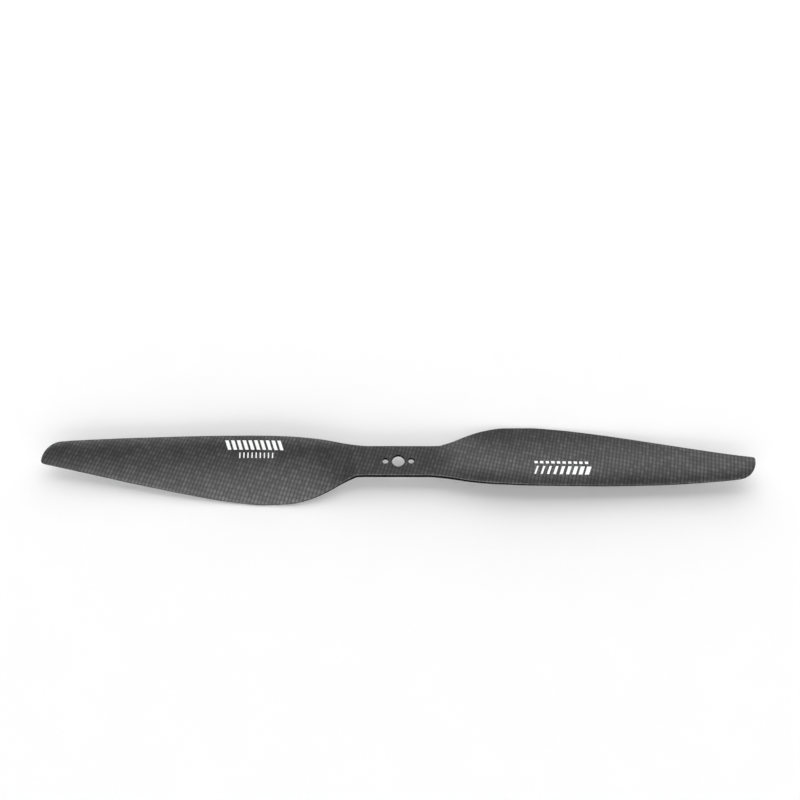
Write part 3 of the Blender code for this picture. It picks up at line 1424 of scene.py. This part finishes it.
@dataclass
class InnerLayers:
    """The frame's own solids inside the skins."""

    effects: Effects

    def dress(self) -> None:
        """Gives each kept solid its finish."""
        tape = DirectedFibre("unidirectional carbon", 2500.0)
        tow = DirectedFibre("carbon tow", 4000.0, light=0.03, roughness=0.5)
        finishes = (
            (tape, ("upper_spar_cap", "lower_spar_cap")),
            (RigidFoam(), ("right_blade_core", "left_blade_core")),
            (tow, ("right_leading_edge_tow", "left_leading_edge_tow")),
            (BondResin(), ("right_trailing_edge_strip", "left_trailing_edge_strip")),
        )
        for finish, names in finishes:
            look = finish.build(self.effects)
            for name in names:
                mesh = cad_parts[name].data
                mesh.materials.clear()
                mesh.materials.append(look)
                log.info("%s: kept, finish %s", name, look.name)


# --- Studio ---


@dataclass(frozen=True)
class TentBand:
    """One band of the light tent that arches over the propeller from front to back.

    The angle is from straight overhead, in degrees, positive towards the back.
    """

    angle: float
    level: float


@dataclass(frozen=True)
class StripLamp:
    """A strip of soft light along the tent, for the floor: the film doesn't mirror it.

    The angle and the spread are seen from the hub, in degrees, and lengths are in metres.
    """

    angle: float
    spread: float
    level: float
    distance: float = 5.0
    length: float = 12.0

    def hang(self, hub: Vector) -> None:
        """Hangs the strip so that it faces the hub.

        Args:
            hub: The middle of the hub, in metres.
        """
        name = f"strip_{self.angle:.0f}"
        data = bpy.data.lights.new(name, "AREA")
        data.shape = "RECTANGLE"
        data.size = self.length
        data.size_y = 2 * self.distance * math.tan(math.radians(self.spread / 2))
        data.energy = self.level * math.pi * data.size * data.size_y
        lamp = bpy.data.objects.new(name, data)
        turn = math.radians(self.angle)
        away = Vector((0.0, math.sin(turn), math.cos(turn)))
        lamp.location = hub + away * self.distance
        lamp.rotation_euler = (-turn, 0.0, 0.0)
        lamp.visible_glossy = False
        lamp.visible_camera = False
        bpy.context.scene.collection.objects.link(lamp)


@dataclass
class Studio:
    """The pale floor, the soft light and the camera."""

    floor_size: float = 6000.0
    floor_greys: tuple[float, float] = (0.86, 0.88)
    camera_elevation: float = 64.36
    camera_turn: float = -0.215
    camera_depth: float = 447.9
    aim_across: float = 0.80
    aim_up: float = 28.55
    lens: float = 43.425
    tent: tuple[TentBand, ...] = (
        TentBand(-90, 1.5),
        TentBand(-65, 1.8),
        TentBand(-45, 2.4),
        TentBand(-25, 2.7),
        TentBand(-12, 1.6),
        TentBand(-2, 0.6),
        TentBand(6, 0.1),
        TentBand(14, 0.1),
        TentBand(22, 0.6),
        TentBand(32, 1.5),
        TentBand(44, 2.0),
        TentBand(54, 1.6),
        TentBand(62, 0.5),
        TentBand(72, 0.2),
        TentBand(90, 0.2),
    )
    brightest: float = 4.0
    backdrop: float = 0.95
    strips: tuple[StripLamp, ...] = (
        StripLamp(-80, 20, 2.7),
        StripLamp(-60, 20, 2.8),
        StripLamp(-35, 30, 0.7),
        StripLamp(0, 40, 0.25),
        StripLamp(35, 30, 1.9),
        StripLamp(60, 20, 3.0),
        StripLamp(80, 20, 3.5),
    )

    def floor(self) -> None:
        """A plain pale floor that the finished propeller lies on."""
        made, w = new_material("studio floor")
        grain = w.noise(w.object_coordinates(), 40.0, 3.0)
        colour = w.tint(grain, *map(grey, self.floor_greys))
        w.shader({"Base Color": colour, "Roughness": 0.9, "Specular IOR Level": 0.0})
        bm = bmesh.new()
        half = self.floor_size / 2 * MM
        ground = Matrix.Translation((0.0, 0.0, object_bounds()[0][2]))
        bmesh.ops.create_grid(bm, x_segments=8, y_segments=8, size=half, matrix=ground)
        plane = link_mesh("studio_floor", bm)
        plane.data.materials.append(made)
        plane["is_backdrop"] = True

    def sky(self) -> None:
        """The light tent, which only the satin film mirrors, and a plain backdrop."""
        world = bpy.data.worlds.new("studio")
        world.use_nodes = True
        w = Wiring(world.node_tree)
        _, back, up = w.parts(w.node("ShaderNodeTexCoord").outputs[0])
        angle = w.math("ARCTAN2", back, w.math("MAXIMUM", up, 0.0))
        place = w.line(angle, 1 / math.pi, 0.5)
        ramp = w.node("ShaderNodeValToRGB", {0: place})
        stops = ramp.color_ramp.elements
        for band in self.tent[2:]:
            stops.new(0.5 + band.angle / 180)
        for stop, band in zip(stops, self.tent):
            stop.position = 0.5 + band.angle / 180
            stop.color = grey(band.level / self.brightest)
        tent = {"Color": ramp.outputs[0], "Strength": self.brightest}
        tent_light = w.node("ShaderNodeBackground", tent)
        backdrop = w.node("ShaderNodeBackground", {"Color": grey(self.backdrop)})
        seen = w.node("ShaderNodeLightPath").outputs["Is Camera Ray"]
        sky = w.node("ShaderNodeMixShader", {0: seen, 1: tent_light.outputs[0]})
        w.feed(sky.inputs[2], backdrop.outputs[0])
        w.node("ShaderNodeOutputWorld", {0: sky.outputs[0]})
        bpy.context.scene.world = world
        world.cycles_visibility.diffuse = False

    def camera(self, hub: Vector) -> None:
        """The camera, which looks down over the propeller's near edge.

        Args:
            hub: The middle of the hub, in metres.
        """
        data = bpy.data.cameras.new("camera")
        data.sensor_width = 36.0
        data.lens = self.lens
        data.clip_start, data.clip_end = 0.01, 20.0
        made = bpy.data.objects.new("camera", data)
        tilt = math.radians(self.camera_elevation)
        turn = Matrix.Rotation(math.radians(self.camera_turn), 3, "Z")
        right = turn @ Vector((1.0, 0.0, 0.0))
        up = turn @ Vector((0.0, math.sin(tilt), math.cos(tilt)))
        back = turn @ Vector((0.0, -math.cos(tilt), math.sin(tilt)))
        aim = hub + (right * self.aim_across + up * self.aim_up) * MM
        made.location = aim + back * self.camera_depth * MM
        made.rotation_euler = Matrix((right, up, back)).transposed().to_euler()
        bpy.context.scene.collection.objects.link(made)
        bpy.context.scene.camera = made

    def set_up(self) -> None:
        """Builds the whole studio."""
        hub = Vector((0.0, 0.0, hub_height() * MM))
        self.floor()
        self.sky()
        self.camera(hub)
        for strip in self.strips:
            strip.hang(hub)
        bpy.context.scene.view_settings.view_transform = "Standard"


def main() -> None:
    """Builds, finishes and lights the propeller."""
    logging.basicConfig(level=logging.INFO, format="%(name)s: %(message)s")
    form, effects = BladeForm(), Effects()
    moulding = (form, Layup(), LoftGrid(form), HolePattern(), effects)
    MouldedSkins(*moulding).dress()
    HubLaminate(*moulding).dress()
    PrintedMarks(form, effects).dress()
    InnerLayers(effects).dress()
    Studio().set_up()


if __name__ == "__main__":
    main()
